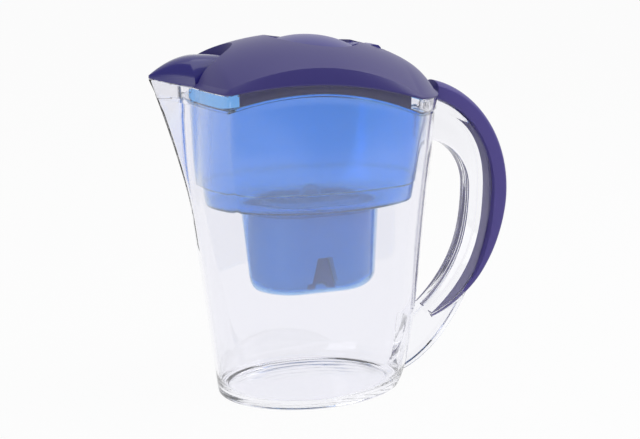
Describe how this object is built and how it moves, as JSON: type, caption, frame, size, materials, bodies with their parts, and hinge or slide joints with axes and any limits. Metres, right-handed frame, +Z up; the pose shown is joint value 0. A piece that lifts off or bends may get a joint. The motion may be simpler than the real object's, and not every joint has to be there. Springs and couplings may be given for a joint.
{
  "type": "water filter pitcher",
  "caption": "Water filter pitcher with a clear jug, a lift-out blue reservoir and filter cartridge, a domed lid with a fill flap and a spout flap, and a side handle.",
  "frame": {"origin": "middle of the bounding box's lower face, on the table that the jug stands on", "axes": "+Z up, +X towards the handle, so the spout points along -X, and the pitcher is symmetric about the XZ plane"},
  "size_m": [0.2897, 0.1302, 0.2751],
  "materials": {
    "clear_resin": "clear moulded styrene acrylonitrile, polished",
    "grip_skin": "soft-touch elastomer, satin",
    "grip_core_plastic": "moulded ABS, satin",
    "blue_resin": "tinted clear moulded resin, polished",
    "saddle_plastic": "moulded ABS, satin",
    "lid_plastic": "moulded ABS, satin",
    "frame_plastic": "moulded ABS, polished",
    "fill_flap_plastic": "moulded ABS, satin",
    "spout_flap_plastic": "moulded ABS, polished",
    "cartridge_plastic": "moulded polypropylene, satin",
    "seal_rubber": "silicone, matt",
    "felt": "pressed felt",
    "mesh": "woven polyester mesh",
    "resin_beads": "ion exchange beads",
    "carbon": "activated carbon granules",
    "pin_steel": "ground stainless steel"
  },
  "bodies": {
    "jug": {"jug": "clear_resin", "handle_grip": "grip_skin", "grip_core": "grip_core_plastic"},
    "reservoir": {"reservoir": "blue_resin", "outlet_saddle": "saddle_plastic"},
    "cartridge": {"cartridge_cup": "cartridge_plastic", "bottom_mesh": "mesh", "resin_bed": "resin_beads", "middle_felt": "felt", "carbon_bed": "carbon", "top_felt": "felt", "cartridge_cap": "cartridge_plastic", "cartridge_seal": "seal_rubber", "pull_loop": "cartridge_plastic"},
    "lid": {"lid": "lid_plastic", "lid_frame": "frame_plastic", "fill_flap_pin": "pin_steel", "spout_flap_pin": "pin_steel"},
    "fill_flap": {"fill_flap": "fill_flap_plastic"},
    "spout_flap": {"spout_flap": "spout_flap_plastic"}
  },
  "joints": [
    {"name": "reservoir_lift", "type": "slide", "parent": "jug", "child": "reservoir", "axis": [0, 0, 1], "range_m": [0, 0.165]},
    {"name": "cartridge_lift", "type": "slide", "parent": "reservoir", "child": "cartridge", "axis": [0, 0, 1], "range_m": [0, 0.085]},
    {"name": "lid_lift", "type": "slide", "parent": "cartridge", "child": "lid", "axis": [0, 0, 1], "range_m": [0, 0.06]},
    {"name": "fill_flap_hinge", "type": "hinge", "parent": "lid", "child": "fill_flap", "pos_m": [0.028, 0, 0.2592], "axis": [0, 1, 0], "range_deg": [0, 100]},
    {"name": "spout_flap_hinge", "type": "hinge", "parent": "lid", "child": "spout_flap", "pos_m": [-0.0905, 0, 0.2575], "axis": [0, 1, 0], "range_deg": [0, 50]}
  ]
}
